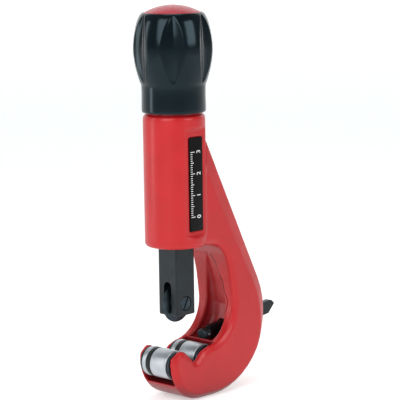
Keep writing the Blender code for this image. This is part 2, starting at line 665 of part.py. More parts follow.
def knob_radius(z):
    """Skirt, a full belly and a shoulder, blended with half cosines."""
    if z <= KNOB_SKIRT_TOP:
        return KNOB_SKIRT_R
    if z <= KNOB_BELLY:
        share = (z - KNOB_SKIRT_TOP) / (KNOB_BELLY - KNOB_SKIRT_TOP)
        return KNOB_SKIRT_R + (KNOB_R - KNOB_SKIRT_R) * math.sin(share * math.pi / 2) ** 1.15
    share = (z - KNOB_BELLY) / (KNOB_TOP - KNOB_BELLY)
    return KNOB_SHOULDER_R - 0.5 * MM + (KNOB_R - KNOB_SHOULDER_R + 0.5 * MM) * (1 - share ** 2.2)


def flute_depth(turn, z):
    """Depth of the nearest flute: a hollow with pointed ends."""
    if not FLUTE_BOTTOM < z < FLUTE_TOP:
        return 0.0
    share = (z - FLUTE_BOTTOM) / (FLUTE_TOP - FLUTE_BOTTOM)
    reach = math.sin(math.pi * share) ** 0.6
    pitch = 2 * math.pi / FLUTES
    off = (turn - FLUTE_PHASE + pitch / 2) % pitch - pitch / 2
    half = FLUTE_HALF * reach
    if abs(off) >= half:
        return 0.0
    return FLUTE_DEPTH * reach * (1 - (off / half) ** 2)


def build_knob(mats):
    cavity_r = NECK_R + 1.5 * GAP
    bore = SPINDLE_R + GAP
    seat_r = CAP_R + GAP
    seat_z = KNOB_TOP - CAP_RIM
    plug_z = seat_z - CAP_PLUG_L - GAP
    levels = [KNOB_BOTTOM, KNOB_SKIRT_TOP, FLUTE_BOTTOM + 0.5 * MM]
    levels += [133 * MM, 136 * MM, 139 * MM, 142 * MM, KNOB_BELLY, 148 * MM, 151 * MM, 154 * MM, 157 * MM]
    levels += [FLUTE_TOP - 0.5 * MM, 161.4 * MM, KNOB_TOP]
    inner = [(seat_r, KNOB_TOP), (seat_r, seat_z), (CAP_PLUG_R + GAP, seat_z), (CAP_PLUG_R + GAP, plug_z),
             (WHEEL_R + GAP, plug_z), (WHEEL_R + GAP, STEP_Z), (STEP_R, STEP_Z), (STEP_R, HUB_TOP),
             (KNOB_SCREW_R + GAP, HUB_TOP), (KNOB_SCREW_R + GAP, HUB_TOP - HUB_SHOULDER),
             (bore, HUB_TOP - HUB_SHOULDER), (bore, hub_face()),
              (cavity_r, hub_face()), (cavity_r, KNOB_BOTTOM)]
    sides = KNOB_SIDES
    bm = bmesh.new()
    rings = []
    for z in levels:
        turns = [2 * math.pi * k / sides for k in range(sides)]
        radii = [knob_radius(z) - flute_depth(t, z) for t in turns]
        rings.append([bm.verts.new((r * math.cos(t), r * math.sin(t), z)) for r, t in zip(radii, turns)])
    for r, z in inner:
        turns = [2 * math.pi * k / sides for k in range(sides)]
        rings.append([bm.verts.new((r * math.cos(t), r * math.sin(t), z)) for t in turns])
    rings.append(rings[0])
    for low, high in zip(rings, rings[1:]):
        for k in range(sides):
            n = (k + 1) % sides
            bm.faces.new([low[k], low[n], high[n], high[k]])
    knob = to_object(bm, "knob", mats["knob"])
    pin_z = hub_face() + DRIVE_PIN_UP
    half_l = DRIVE_PIN_L / 2 + GAP
    half_w = DRIVE_PIN_R + GAP
    slot_low = hub_face() - OVERCUT
    cut(knob, block_mesh((-half_l, -half_w, slot_low), (half_l, half_w, pin_z + half_w)), "pin_slot")
    tidy(knob)


def build_cap(mats):
    rim_low = KNOB_TOP - CAP_RIM + GAP
    rim_high = KNOB_TOP
    plug_low = rim_low - CAP_PLUG_L
    plug_in = CAP_PLUG_R - CAP_PLUG_WALL
    dome_r = (CAP_R ** 2 + CAP_DOME ** 2) / (2 * CAP_DOME)
    centre = rim_high + CAP_DOME - dome_r
    dome = []
    for share in (1.0, 0.85, 0.7, 0.5, 0.3, 0.0):
        r = CAP_R * share
        dome.append((r, centre + math.sqrt(dome_r ** 2 - r ** 2)))
    under = [(0, rim_high + CAP_DOME - CAP_WALL), (plug_in * 0.6, rim_high + CAP_DOME - CAP_WALL - 1.0 * MM),
             (plug_in, rim_low), (plug_in, plug_low), (CAP_PLUG_R, plug_low), (CAP_PLUG_R, rim_low)]
    turned("knob_cap", mats["cap"], under + [(CAP_R, rim_low)] + dome)


# ---- reamer ----

def build_reamer(mats):
    half = REAM_W / 2
    tang = BUTTON_L - BUTTON_FORK
    tip = REAM_L + BUTTON_L
    tang_half = BUTTON_R * 0.62
    seat = BUTTON_L + GAP
    outline = [(tang + GAP, -tang_half), (seat, -tang_half), (seat, -half), (tip - REAM_POINT, -half),
               (tip, half * 0.2), (tip - 1.2 * MM, half * 0.75), (tip - REAM_POINT * 0.6, half),
               (seat, half), (seat, tang_half), (tang + GAP, tang_half)]
    frame_of = ream_matrix()
    blade = to_object(prism_mesh(outline, -REAM_T / 2, REAM_T / 2), "reamer_blade", mats["black_steel"])
    groove_low = DETENT_S - REAM_TRAVEL - GROOVE_W / 2
    groove_high = DETENT_S + GROOVE_W / 2
    cut(blade, block_mesh((groove_low, REAM_T / 2 - GROOVE_D, -GROOVE_W / 2),
                          (groove_high, REAM_T / 2 + OVERCUT, GROOVE_W / 2)), "groove")
    rivet_s = tang + BUTTON_FORK / 2
    hole = turned_mesh(rod_outline(RIVET_R + GAP, -REAM_T, REAM_T), 16, "Y")
    bmesh.ops.translate(hole, verts=hole.verts, vec=(rivet_s, 0, 0))
    cut(blade, hole, "rivet_hole")
    tidy(blade)
    blade.matrix_world = frame_of
    button_outline = rod_outline(BUTTON_R, 0, BUTTON_L, 0.4 * MM)
    button = turned("reamer_button", mats["dark"], button_outline, sides=FINE, axis="X")
    cut(button, block_mesh((tang, -REAM_T / 2 - GAP, -BUTTON_R - OVERCUT),
                           (BUTTON_L + OVERCUT, REAM_T / 2 + GAP, BUTTON_R + OVERCUT)), "fork")
    hole = turned_mesh(rod_outline(RIVET_R + GAP, -BUTTON_R - OVERCUT, BUTTON_R + OVERCUT), 16, "Y")
    bmesh.ops.translate(hole, verts=hole.verts, vec=(rivet_s, 0, 0))
    cut(button, hole, "rivet_hole")
    tidy(button)
    button.matrix_world = frame_of
    rivet_outline = rod_outline(RIVET_R, -BUTTON_R, BUTTON_R, 0.2 * MM)
    rivet = turned("reamer_rivet", mats["steel"], rivet_outline, sides=16, axis="Y")
    rivet.matrix_world = ream_matrix(rivet_s)


def build_detent(mats):
    place = ream_matrix(DETENT_S)
    ball_y = REAM_T / 2 - BALL_SUNK + BALL_R
    ball_bm = bmesh.new()
    bmesh.ops.create_uvsphere(ball_bm, u_segments=16, v_segments=10, radius=BALL_R)
    ball = to_object(ball_bm, "reamer_ball", mats["steel"])
    ball.matrix_world = place @ Matrix.Translation((0, ball_y, 0))
    plug_low = SIDE_Y - PLUG_L
    plug_outline = rod_outline(PLUG_R, plug_low, SIDE_Y - GAP, 0.3 * MM)
    plug = turned("reamer_plug", mats["dark"], plug_outline, sides=FINE, axis="Y")
    socket = turned_mesh(rod_outline(1.1 * MM, SIDE_Y - 1.4 * MM, SIDE_Y + OVERCUT), 6, "Y")
    cut(plug, socket, "hex_socket")
    tidy(plug)
    plug.matrix_world = place
    low = ball_y + BALL_R + SPRING_WIRE
    high = plug_low - GAP - SPRING_WIRE
    coil_r = BALL_R - SPRING_WIRE
    steps = SPRING_TURNS * COIL_STEPS
    curve = bpy.data.curves.new("reamer_spring", "CURVE")
    curve.dimensions = "3D"
    curve.bevel_depth = SPRING_WIRE
    curve.bevel_resolution = 0
    curve.use_fill_caps = True
    spline = curve.splines.new("POLY")
    spline.points.add(steps)
    for k in range(steps + 1):
        t = 2 * math.pi * k / COIL_STEPS
        y = low + (high - low) * k / steps
        spline.points[k].co = (coil_r * math.cos(t), y, coil_r * math.sin(t), 1)
    spring = bpy.data.objects.new("reamer_spring", curve)
    curve.materials.append(mats["steel"])
    bpy.context.scene.collection.objects.link(spring)
    spring.matrix_world = place


def build_materials():
    return {
        "enamel": finish("red_enamel", (0.60, 0.035, 0.045), 0.35, 0.0),
        "label": finish("label_black", (0.008, 0.008, 0.009), 0.35, 0.0),
        "knob": finish("knob_black", (0.010, 0.016, 0.019), 0.25, 0.0),
        "cap": finish("cap_red", (0.50, 0.04, 0.06), 0.35, 0.0),
        "black_steel": finish("black_oxide_steel", (0.02, 0.03, 0.035), 0.45, 0.6),
        "dark": finish("dark_phosphate_steel", (0.06, 0.07, 0.08), 0.5, 0.7),
        "roller": finish("ground_steel", (0.55, 0.56, 0.58), 0.3, 1.0),
        "steel": finish("zinc_steel", (0.50, 0.51, 0.53), 0.35, 1.0),
        "wheel": finish("tool_steel", (0.10, 0.11, 0.12), 0.35, 0.9),
        "bronze": finish("bearing_bronze", (0.42, 0.26, 0.10), 0.4, 1.0),
        "rubber": finish("band_rubber", (0.008, 0.010, 0.010), 0.6, 0.0),
    }


def main():
    clear_scene()
    mats = build_materials()
    build_frame(mats)
    build_label(mats)
    build_rollers(mats)
    build_slide(mats)
    build_wheel(mats)
    build_feed(mats)
    build_knob(mats)
    build_cap(mats)
    build_reamer(mats)
    build_detent(mats)


main()
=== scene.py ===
"""Looks of the telescopic tube cutter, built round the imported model. Metres; MM is a millimetre."""
import math

import bmesh
import bpy
from mathutils import Matrix, Vector


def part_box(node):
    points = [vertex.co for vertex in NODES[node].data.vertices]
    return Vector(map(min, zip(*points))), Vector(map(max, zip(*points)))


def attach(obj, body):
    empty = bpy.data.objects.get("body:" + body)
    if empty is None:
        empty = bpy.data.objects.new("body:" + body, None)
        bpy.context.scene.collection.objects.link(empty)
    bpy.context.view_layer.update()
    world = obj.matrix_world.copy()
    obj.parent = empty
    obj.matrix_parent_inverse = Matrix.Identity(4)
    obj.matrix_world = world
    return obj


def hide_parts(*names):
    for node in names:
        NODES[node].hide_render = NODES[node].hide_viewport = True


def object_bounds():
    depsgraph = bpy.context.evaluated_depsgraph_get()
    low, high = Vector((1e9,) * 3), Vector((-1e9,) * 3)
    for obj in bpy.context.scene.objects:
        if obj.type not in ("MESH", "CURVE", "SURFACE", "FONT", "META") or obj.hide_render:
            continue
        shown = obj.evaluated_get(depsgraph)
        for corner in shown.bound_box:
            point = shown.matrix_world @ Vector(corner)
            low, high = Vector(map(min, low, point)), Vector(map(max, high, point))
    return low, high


MM = 0.001
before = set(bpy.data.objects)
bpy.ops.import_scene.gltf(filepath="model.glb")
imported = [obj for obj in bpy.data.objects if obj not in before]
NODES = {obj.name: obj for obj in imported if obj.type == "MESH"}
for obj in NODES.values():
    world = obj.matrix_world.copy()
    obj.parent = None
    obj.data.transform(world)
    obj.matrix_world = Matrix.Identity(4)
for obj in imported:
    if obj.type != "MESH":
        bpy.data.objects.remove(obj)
cad_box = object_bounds()

ROUND = 128                      # sides of a turned piece
EDGE = 0.18 * MM                 # broken edges of turned steel pieces
BARREL_R = 14.4 * MM
BARREL_LOW = 54.5 * MM
BARREL_TOP = 115.9 * MM
NECK_R = 13.0 * MM
SNAP = 0.3 * MM                  # skin this near to a cylinder is put back on it
LINE_R = 0.13 * MM               # half the width of the casting's parting line


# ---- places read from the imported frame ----

def middle(name):
    low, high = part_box(name)
    return (low + high) / 2


def half_size(name):
    low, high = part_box(name)
    return (high - low) / 2


# ---- shapes ----

def keep(bm, name, mats, sharp=40.0):
    bmesh.ops.recalc_face_normals(bm, faces=bm.faces)
    mesh = bpy.data.meshes.new(name)
    bm.to_mesh(mesh)
    bm.free()
    mesh.shade_smooth()
    mesh.set_sharp_from_angle(angle=math.radians(sharp))
    obj = bpy.data.objects.new(name, mesh)
    bpy.context.scene.collection.objects.link(obj)
    for mat in mats:
        mesh.materials.append(mat)
    return obj


def soften(outline, edge):
    """Break each corner of a turned outline with a three-point curve."""
    out = []
    last = len(outline) - 1
    closed = outline[0] == outline[-1]
    for k, point in enumerate(outline):
        if k in (0, last) and not closed:
            out.append(point)
            continue
        if k == last:
            out.append(out[0])
            continue
        here = Vector(point)
        before = Vector(outline[k - 1 if k else last - 1])
        after = Vector(outline[k + 1])
        reach = min(edge, (here - before).length * 0.45, (after - here).length * 0.45)
        a = here + (before - here).normalized() * reach
        b = here + (after - here).normalized() * reach
        for t in (0.0, 0.33, 0.67, 1.0):
            mid = a * (1 - t) ** 2 + here * 2 * t * (1 - t) + b * t * t
            out.append((mid.x, mid.y))
    return out


def turned(name, mat, outline, at, axis="Z", edge=EDGE, sides=ROUND):
    """A turned piece from (radius, height) points; a closed outline makes a ring."""
    outline = soften(outline, edge) if edge else outline
    closed = outline[0] == outline[-1]
    turns = [2 * math.pi * k / sides for k in range(sides)]
    bm = bmesh.new()
    rings = []
    for radius, height in outline[:-1] if closed else outline:
        if radius <= 0:
            rings.append([bm.verts.new((0, 0, height))])
        else:
            rings.append([bm.verts.new((radius * math.cos(t), radius * math.sin(t), height)) for t in turns])
    if closed:
        rings.append(rings[0])
    for low, high in zip(rings, rings[1:]):
        for k in range(sides):
            n = (k + 1) % sides
            corners = [low[k % len(low)], low[n % len(low)], high[n % len(high)], high[k % len(high)]]
            bm.faces.new(list(dict.fromkeys(corners)))
    if axis == "Y":
        bmesh.ops.rotate(bm, verts=bm.verts, matrix=Matrix.Rotation(math.radians(-90), 3, "X"))
    bmesh.ops.translate(bm, verts=bm.verts, vec=at)
    return keep(bm, name, [mat])


def box_mesh(low, high, turn=None, about=None, bevel=0.0):
    bm = bmesh.new()
    size = Vector(high) - Vector(low)
    spot = (Vector(high) + Vector(low)) / 2
    bmesh.ops.create_cube(bm, size=1, matrix=Matrix.Translation(spot) @ Matrix.Diagonal((*size, 1)))
    if bevel:
        bmesh.ops.bevel(bm, geom=bm.edges[:], offset=bevel, segments=3, affect="EDGES", profile=0.5)
    if turn is not None:
        bmesh.ops.rotate(bm, verts=bm.verts, cent=about, matrix=turn)
    return bm


def cut(obj, bm):
    tool = keep(bm, "cutter", [])
    mod = obj.modifiers.new("cut", "BOOLEAN")
    mod.operation = "DIFFERENCE"
    mod.object = tool
    apply(obj)
    bpy.data.objects.remove(tool, do_unlink=True)


def apply(obj):
    """Bake the modifiers into the mesh."""
    bpy.context.view_layer.update()
    graph = bpy.context.evaluated_depsgraph_get()
    mesh = bpy.data.meshes.new_from_object(obj.evaluated_get(graph))
    obj.modifiers.clear()
    obj.data = mesh


def stand_in(obj, node, body):
    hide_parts(node)
    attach(obj, body)
    return obj


# ---- materials ----

def colour(code):
    """sRGB hex to linear RGBA."""
    parts = [int(code[k:k + 2], 16) / 255 for k in (1, 3, 5)]
    return tuple(c / 12.92 if c <= 0.04045 else ((c + 0.055) / 1.055) ** 2.4 for c in parts) + (1.0,)


def add(mat, kind, inputs=None, links=None, **settings):
    """Add a node with its settings, socket values and links from (node, output) pairs."""
    item = mat.node_tree.nodes.new(kind)
    for key, value in settings.items():
        setattr(item, key, value)
    for key, value in (inputs or {}).items():
        item.inputs[key].default_value = value
    for key, (source, output) in (links or {}).items():
        mat.node_tree.links.new(source.outputs[output], item.inputs[key])
    return item


def blank(name):
    mat = bpy.data.materials.new(name)
    mat.use_nodes = True
    mat.node_tree.nodes.clear()
    return mat


def surface(mat, inputs, links=None):
    shader = add(mat, "ShaderNodeBsdfPrincipled", inputs, links)
    add(mat, "ShaderNodeOutputMaterial", links={"Surface": (shader, "BSDF")})
    return mat


def per_metre(size_mm):
    """Noise scale for a feature of that many millimetres."""
    return 1.0 / (size_mm * MM)


def ramp(mat, source, output, stops):
    item = add(mat, "ShaderNodeValToRGB", links={"Fac": (source, output)})
    items = item.color_ramp.elements
    for element, (place, value) in zip(items, stops):
        element.position = place
        element.color = value if isinstance(value, tuple) else (value, value, value, 1)
    return item


def two_tone(mat, place, size_mm, dark, light):
    """Slow drift between two close colours, with features of that size."""
    noise = add(mat, "ShaderNodeTexNoise", {"Scale": per_metre(size_mm), "Detail": 3.0},
                {"Vector": (place, "Object")})
    return ramp(mat, noise, "Fac", [(0.35, colour(dark)), (0.65, colour(light))])


def enamel():
    """Red stoving enamel sprayed on a zinc die casting: glossy, with the faint swell of
    orange peel; painted shade darkens it down in the throat and the corners."""
    mat = blank("stoving_enamel_red")
    place = add(mat, "ShaderNodeTexCoord")
    film = two_tone(mat, place, 14.0, "#B00D12", "#B81118")
    # painted shade: an ambient-occlusion mask mixes the red towards dark #6E1119 in the throat and the corners
    hollow = add(mat, "ShaderNodeAmbientOcclusion", {"Distance": 16.0 * MM}, samples=6)
    painted_shade_mask = ramp(mat, hollow, "AO", [(0.25, 0.0), (0.85, 1.0)])
    coat_with_painted_shade = add(mat, "ShaderNodeMix", {"A": colour("#6E1119")},
               {"B": (film, "Color"), "Factor": (painted_shade_mask, "Color")}, data_type="RGBA")
    peel = add(mat, "ShaderNodeTexNoise", {"Scale": per_metre(1.6), "Detail": 2.0},
               {"Vector": (place, "Object")})
    bump = add(mat, "ShaderNodeBump", {"Strength": 0.3, "Distance": 0.05 * MM}, {"Height": (peel, "Fac")})
    rough = add(mat, "ShaderNodeMapRange", {"To Min": 0.32, "To Max": 0.42}, {"Value": (peel, "Fac")})
    gloss = {"IOR": 1.5, "Specular IOR Level": 0.35, "Coat Weight": 0.15, "Coat Roughness": 0.15}
    return surface(mat, gloss,
                   {"Base Color": (coat_with_painted_shade, "Result"), "Roughness": (rough, "Result"), "Normal": (bump, "Normal")})


def moulded(name, dark, light, rough, grain, shine=0.5, tint="#FFFFFF"):
    """Injection-moulded glossy plastic: an even colour, a trace of flow in the gloss."""
    mat = blank(name)
    place = add(mat, "ShaderNodeTexCoord")
    tone = two_tone(mat, place, 11.0, dark, light)
    flow = add(mat, "ShaderNodeTexNoise", {"Scale": per_metre(2.5), "Detail": 4.0},
               {"Vector": (place, "Object")})
    gloss = add(mat, "ShaderNodeMapRange", {"To Min": rough, "To Max": rough + 0.08},
                {"Value": (flow, "Fac")})
    bump = add(mat, "ShaderNodeBump", {"Strength": grain, "Distance": 0.03 * MM}, {"Height": (flow, "Fac")})
    return surface(mat, {"IOR": 1.52, "Specular IOR Level": shine, "Specular Tint": colour(tint)},
                   {"Base Color": (tone, "Color"), "Roughness": (gloss, "Result"), "Normal": (bump, "Normal")})


def steel(name, dark, light, rough, stretch, metallic=1.0, depth=0.2):
    """Machined steel: fine tool marks run round or along the piece, drawn near 0.3 mm so
    that they show; their stretch gives them a direction."""
    mat = blank(name)
    place = add(mat, "ShaderNodeTexCoord")
    lay = add(mat, "ShaderNodeMapping", {"Scale": stretch}, {"Vector": (place, "Object")})
    marks = add(mat, "ShaderNodeTexNoise", {"Scale": per_metre(0.3), "Detail": 3.0},
                {"Vector": (lay, "Vector")})
    tone = two_tone(mat, place, 4.0, dark, light)
    gloss = add(mat, "ShaderNodeMapRange", {"To Min": rough - 0.06, "To Max": rough + 0.08},
                {"Value": (marks, "Fac")})
    bump = add(mat, "ShaderNodeBump", {"Strength": depth, "Distance": 0.02 * MM}, {"Height": (marks, "Fac")})
    return surface(mat, {"Metallic": metallic},
                   {"Base Color": (tone, "Color"), "Roughness": (gloss, "Result"), "Normal": (bump, "Normal")})


def materials():
    """Every finish on the tool, by the name the pieces use."""
    round_y = (1.0, 12.0, 1.0)   # marks run round the Y axis
    round_z = (1.0, 1.0, 12.0)
    along_z = (9.0, 9.0, 1.0)
    return {
        "enamel": enamel(),
        "knob": moulded("moulded_abs_black", "#02070A", "#040C12", 0.12, 0.05, 0.5, "#9DBAC6"),
        "cap": moulded("moulded_abs_red", "#A5182C", "#AD1D32", 0.24, 0.05),
        # painted shade: the parting line's near-black colour stands for the shade in its crease
        "line": moulded("parting_line_painted_shade", "#2A0A0E", "#380D12", 0.6, 0.05, 0.2),
        "label": moulded("printed_film_black", "#020203", "#030304", 0.45, 0.02, 0.12),
        "ink": moulded("printed_ink_white", "#E6E6E2", "#EFEFEC", 0.45, 0.02),
        "band": moulded("nitrile_rubber_black", "#04090B", "#070D10", 0.45, 0.25, 0.3),
        "black_steel": steel("black_oxide_steel", "#081216", "#0F1B20", 0.38, along_z, 0.35, 0.5),
        "dark_steel": steel("phosphated_steel", "#252F34", "#39454C", 0.42, round_y, 0.8, 0.4),
        "ground_steel": steel("ground_steel_bright", "#AEB3B8", "#B9BEC3", 0.38, (1.0, 4.0, 1.0), 1.0, 1.0),
        "plain_steel": steel("zinc_plated_steel", "#A9ADB2", "#B9BDC2", 0.30, round_z),
        "wheel_steel": steel("hardened_tool_steel", "#2A3439", "#3B464C", 0.28, round_y, 0.85, 0.3),
        "bronze": steel("sintered_bronze", "#8A6436", "#9A7342", 0.38, round_z),
    }


# ---- pieces ----

def snap_round(mesh):
    """Put the barrel's and the neck's skin back on their true cylinders."""
    neck_low = BARREL_TOP + 0.6 * MM
    for radius, z_low, z_high in ((BARREL_R, BARREL_LOW + 2.0 * MM, BARREL_TOP - 2.0 * MM),
                                  (NECK_R, neck_low, neck_low + 12.0 * MM)):
        for vert in mesh.vertices:
            x, y, z = vert.co
            away = math.hypot(x, y)
            if z_low < z < z_high and abs(away - radius) < SNAP and x < 11.0 * MM and abs(y) < 12.5 * MM:
                vert.co.x *= radius / away
                vert.co.y *= radius / away


def parting_line(mats, casting):
    """The thin witness line where the two halves of the die met, wandering down the throat; its near-black colour is
    painted shade of the crease there.
    """
    graph = bpy.context.evaluated_depsgraph_get()
    spots = []
    for k in range(31):
        share = k / 30
        y = (-1.2 - 6.4 * math.sin(share * math.pi / 2) - 0.35 * math.sin(share * 17.0)) * MM
        angle = math.radians(52.0 - 82.0 * share)
        start = Vector((7.8 * MM, y, 30.0 * MM))
        ray = Vector((math.cos(angle), 0, math.sin(angle)))
        hit, point, normal, _ = casting.ray_cast(start, ray, depsgraph=graph)
        if hit:
            spots.append(point - ray * LINE_R * 0.2)
    curve = bpy.data.curves.new("parting_line", "CURVE")
    curve.dimensions = "3D"
    curve.bevel_depth = LINE_R
    spline = curve.splines.new("POLY")
    spline.points.add(len(spots) - 1)
    for point, spot in zip(spline.points, spots):
        point.co = (*spot, 1)
    curve.materials.append(mats["line"])
    piece = bpy.data.objects.new("parting_line", curve)
    bpy.context.scene.collection.objects.link(piece)
    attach(piece, "frame_body")


def frame_casting(mats):
    """The casting's own skin: remeshed finely, its corners drawn soft as cast and painted."""
    source = NODES["frame"]
    mesh = source.data.copy()
    obj = bpy.data.objects.new("frame_casting", mesh)
    bpy.context.scene.collection.objects.link(obj)
    mesh.materials.clear()
    remesh = obj.modifiers.new("skin", "REMESH")
    remesh.mode = "VOXEL"
    remesh.voxel_size = 0.38 * MM
    apply(obj)
    soft = obj.modifiers.new("soft", "SMOOTH")
    soft.factor = 0.5
    soft.iterations = 14
    apply(obj)
    snap_round(obj.data)
    obj.data.shade_smooth()
    obj.data.materials.append(mats["enamel"])
    parting_line(mats, obj)
    return stand_in(obj, "frame", "frame_body")


def label(mats):
    low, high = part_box("label_plate")
    plate = keep(box_mesh(low, high, bevel=0.12 * MM), "label_film", [mats["label"]])
    stand_in(plate, "label_plate", "frame_body")
    face = low.y
    tick_t = 0.03 * MM
    ticks = bmesh.new()
    spot = (low + high) / 2
    for k in range(31):
        length = 2.6 * MM if k % 10 == 0 else 2.0 * MM if k % 5 == 0 else 1.2 * MM
        z = spot.z + (k - 15) * MM
        size = Vector((length, tick_t, 0.28 * MM))
        centre = Vector((low.x + 0.6 * MM + length / 2, face - tick_t / 2, z))
        bmesh.ops.create_cube(ticks, size=1, matrix=Matrix.Translation(centre) @ Matrix.Diagonal((*size, 1)))
    scale = keep(ticks, "label_scale", [mats["ink"]])
    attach(scale, "frame_body")
    for k, words in enumerate(("0", "1", "2", "3")):
        text = bpy.data.curves.new("label_number_" + words, "FONT")
        text.body = words
        text.size = 3.4 * MM
        text.extrude = tick_t / 2
        text.align_x = "CENTER"
        text.align_y = "CENTER"
        piece = bpy.data.objects.new("label_number_" + words, text)
        bpy.context.scene.collection.objects.link(piece)
        at = (spot.x + 1.6 * MM, face - tick_t / 2, spot.z + (k * 10 - 15) * MM)
        upright = Matrix.Rotation(math.radians(90), 4, "X")
        reading_up = Matrix.Rotation(math.radians(90), 4, "Z")
        piece.matrix_world = Matrix.Translation(at) @ upright @ reading_up
        text.materials.append(mats["ink"])
        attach(piece, "frame_body")


def rollers(mats):
    for place in ("front", "rear"):
        roller = place + "_roller"
        body = roller + "_body"
        at = middle(roller)
        r = half_size(roller).z
        half = half_size(roller).y
        band_y = middle(roller + "_band").y
        band_half = half_size(roller + "_band").y
        groove = band_half + 0.25 * MM
        groove_r = r - 1.05 * MM
        bore = 2.6 * MM
        outline = [(bore, -half), (r, -half), (r, band_y - groove), (groove_r, band_y - groove),
                   (groove_r, band_y + groove), (r, band_y + groove), (r, half), (bore, half), (bore, -half)]
        stand_in(turned(roller + "_ground", mats["ground_steel"], outline, at, "Y", 0.3 * MM), roller, body)
        top = r - 0.05 * MM
        ring = [(r - 0.75 * MM, band_y - band_half), (top, band_y - band_half), (top, band_y + band_half),
                (r - 0.75 * MM, band_y + band_half), (r - 0.75 * MM, band_y - band_half)]
        band = turned(roller + "_rubber", mats["band"], ring, at, "Y", 0.4 * MM)
        stand_in(band, roller + "_band", body)
        for side in ("near", "far"):
            name = f"{place}_{side}_washer"
            spot = middle(name)
            wide = half_size(name)
            ring = [(bore, -wide.y), (wide.z, -wide.y), (wide.z, wide.y), (bore, wide.y), (bore, -wide.y)]
            washer = turned(name + "_turned", mats["dark_steel"], ring, spot, "Y", 0.15 * MM)
            stand_in(washer, name, "frame_body")


def wheel_outline(r, hub):
    disc = 0.8 * MM
    bore = 2.5 * MM
    half = [(bore, -hub), (4.4 * MM, -hub), (4.7 * MM, -disc), (r - 3.2 * MM, -disc)]
    return half + [(r, 0)] + [(x, -y) for x, y in reversed(half)] + [half[0]]


def wheels(mats):
    at = middle("cutter_wheel")
    outline = wheel_outline(half_size("cutter_wheel").z, half_size("cutter_wheel").y)
    stand_in(turned("cutter_wheel_ground", mats["wheel_steel"], outline, at, "Y", 0.05 * MM), "cutter_wheel",
             "wheel_body")
    at = middle("spare_cutter_wheel")
    spare = turned("spare_wheel_ground", mats["wheel_steel"], outline, at, "Z", 0.05 * MM)
    stand_in(spare, "spare_cutter_wheel", "knob_body")


def axle_screw(mats):
    low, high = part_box("wheel_axle_screw")
    at = Vector((0, 0, (low.z + high.z) / 2))
    head_r = (high.z - low.z) / 2
    shank = 2.2 * MM
    seat = low.y + 1.9 * MM
    outline = [(0, low.y), (head_r, low.y), (head_r, seat), (shank, seat), (shank, high.y), (0, high.y)]
    screw = turned("axle_screw_turned", mats["dark_steel"], outline, at, "Y", 0.25 * MM)
    slot = box_mesh((-2 * head_r, low.y - MM, -0.38 * MM), (2 * head_r, low.y + 0.85 * MM, 0.38 * MM),
                    Matrix.Rotation(math.radians(-62), 3, "Y"), (0, 0, 0))
    bmesh.ops.translate(slot, verts=slot.verts, vec=at)
    cut(screw, slot)
    screw.data.set_sharp_from_angle(angle=math.radians(40))
    stand_in(screw, "wheel_axle_screw", "slide_body")


# knob: radii at heights over its lower edge, all on one smooth curve
KNOB_CURVE = [(0.0, 14.7), (0.8, 14.85), (12.0, 14.85), (14.3, 15.65), (18.8, 16.95), (23.4, 17.85),
              (28.0, 18.3),
              (32.5, 18.15), (37.1, 17.5), (41.7, 16.3), (44.4, 15.0), (45.4, 14.1)]
FLUTES = 6
FLUTE_PHASE = math.radians(225)
FLUTE_HALF = math.radians(18.5)
FLUTE_DEPTH = 2.0 * MM
FLUTE_LOW = 13.5 * MM
FLUTE_HIGH = 44.4 * MM


def curve_radius(rise):
    """Catmull-Rom through the knob's curve."""
    points = [(h * MM, r * MM) for h, r in KNOB_CURVE]
    k = 0
    while k < len(points) - 2 and rise > points[k + 1][0]:
        k += 1
    p1, p2 = points[k], points[k + 1]
    p0 = points[max(k - 1, 0)]
    p3 = points[min(k + 2, len(points) - 1)]
    span = p2[0] - p1[0]
    t = (rise - p1[0]) / span
    m1 = (p2[1] - p0[1]) / (p2[0] - p0[0]) * span
    m2 = (p3[1] - p1[1]) / (p3[0] - p1[0]) * span
    return ((2 * t ** 3 - 3 * t ** 2 + 1) * p1[1] + (t ** 3 - 2 * t ** 2 + t) * m1
            + (-2 * t ** 3 + 3 * t ** 2) * p2[1] + (t ** 3 - t ** 2) * m2)


def flute(turn, rise):
    """Depth of the nearest thumb flute: a hollow with pointed ends and a crisp rim."""
    if not FLUTE_LOW < rise < FLUTE_HIGH:
        return 0.0
    share = (rise - FLUTE_LOW) / (FLUTE_HIGH - FLUTE_LOW)
    reach = math.sin(math.pi * share ** 1.1) ** 0.55
    pitch = 2 * math.pi / FLUTES
    off = (turn - FLUTE_PHASE + pitch / 2) % pitch - pitch / 2
    half = FLUTE_HALF * reach
    if abs(off) >= half or half <= 0:
        return 0.0
    return FLUTE_DEPTH * reach * math.cos(off / half * math.pi / 2) ** 1.15


